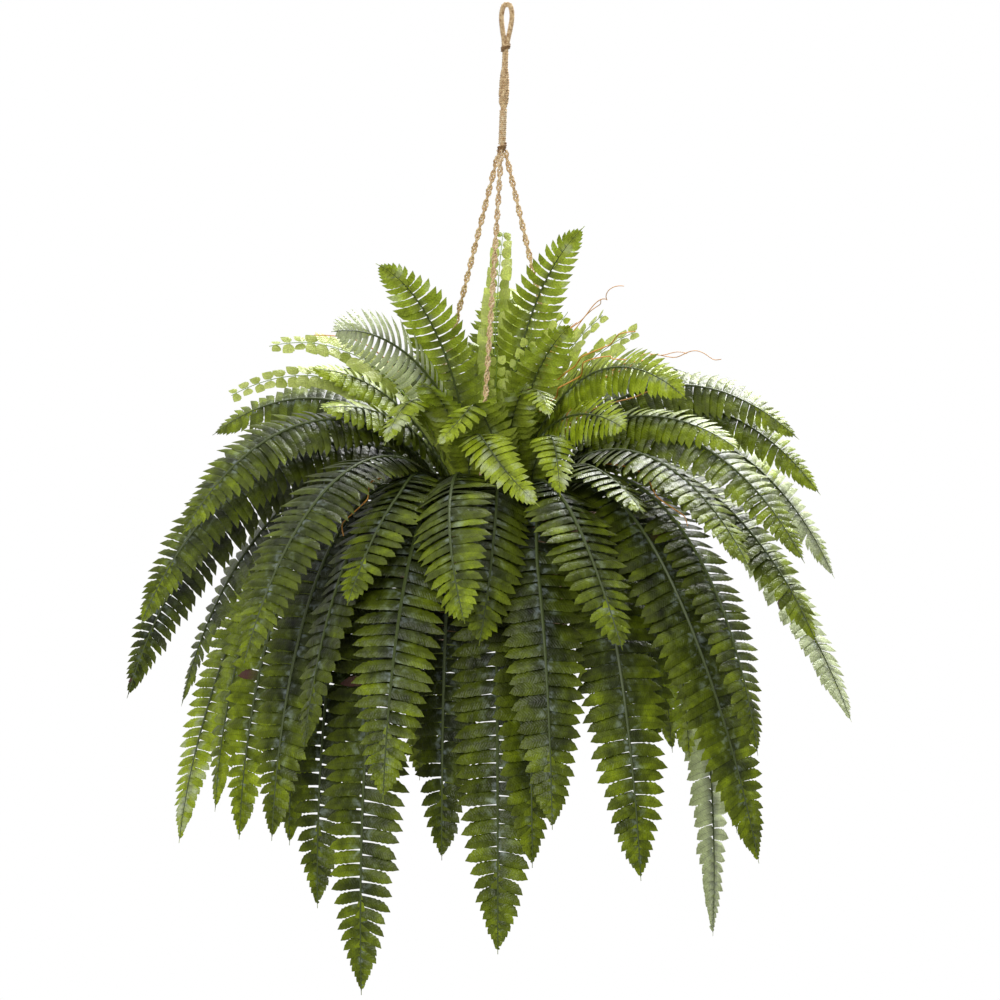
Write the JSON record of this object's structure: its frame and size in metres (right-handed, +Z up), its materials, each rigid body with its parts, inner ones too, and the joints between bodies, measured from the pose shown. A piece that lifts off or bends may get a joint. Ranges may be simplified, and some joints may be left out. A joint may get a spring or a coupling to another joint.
{
  "type": "boston fern in basket",
  "caption": "Hanging Boston fern with long arching and trailing fronds, in a woven basket on a knotted jute hanger with a loop.",
  "frame": {"origin": "top of the hanging loop's eye, where a hook carries the plant", "axes": "+Z up, +X to the right of the show side, -Y out of the show side"},
  "size_m": [0.6614, 0.5939, 0.8511],
  "materials": {
    "fresh_frond": "satin",
    "deep_frond": "satin",
    "young_sprig": "matte",
    "runner": "matte",
    "soil": "matte",
    "wicker": "matte",
    "jute": "matte",
    "twine": "matte"
  },
  "bodies": {
    "root": {"frond_01": "fresh_frond", "frond_02": "fresh_frond", "frond_03": "fresh_frond", "frond_04": "fresh_frond", "frond_05": "fresh_frond", "frond_06": "fresh_frond", "frond_07": "fresh_frond", "frond_08": "fresh_frond", "frond_09": "fresh_frond", "frond_10": "fresh_frond", "frond_11": "deep_frond", "frond_12": "fresh_frond", "frond_13": "deep_frond", "frond_14": "deep_frond", "frond_15": "fresh_frond", "frond_16": "deep_frond", "frond_17": "deep_frond", "frond_18": "deep_frond", "frond_19": "deep_frond", "frond_20": "deep_frond", "frond_21": "deep_frond", "frond_22": "deep_frond", "frond_23": "deep_frond", "frond_24": "deep_frond", "frond_25": "deep_frond", "frond_26": "deep_frond", "frond_27": "deep_frond", "frond_28": "deep_frond", "frond_29": "deep_frond", "frond_30": "deep_frond", "frond_31": "deep_frond", "frond_32": "deep_frond", "frond_33": "deep_frond", "frond_34": "deep_frond", "frond_35": "fresh_frond", "frond_36": "fresh_frond", "frond_37": "fresh_frond", "frond_38": "deep_frond", "frond_39": "deep_frond", "frond_40": "deep_frond", "frond_41": "deep_frond", "frond_42": "deep_frond", "sprig_1": "young_sprig", "sprig_2": "young_sprig", "sprig_3": "young_sprig", "sprig_4": "young_sprig", "runner_1": "runner", "runner_2": "runner", "soil": "soil", "basket": "wicker", "hanging_loop": "jute", "loop_binding": "twine", "neck_whipping": "twine", "cord_front": "jute", "tie_front": "jute", "cord_right": "jute", "tie_right": "jute", "cord_left": "jute", "tie_left": "jute"}
  },
  "joints": []
}
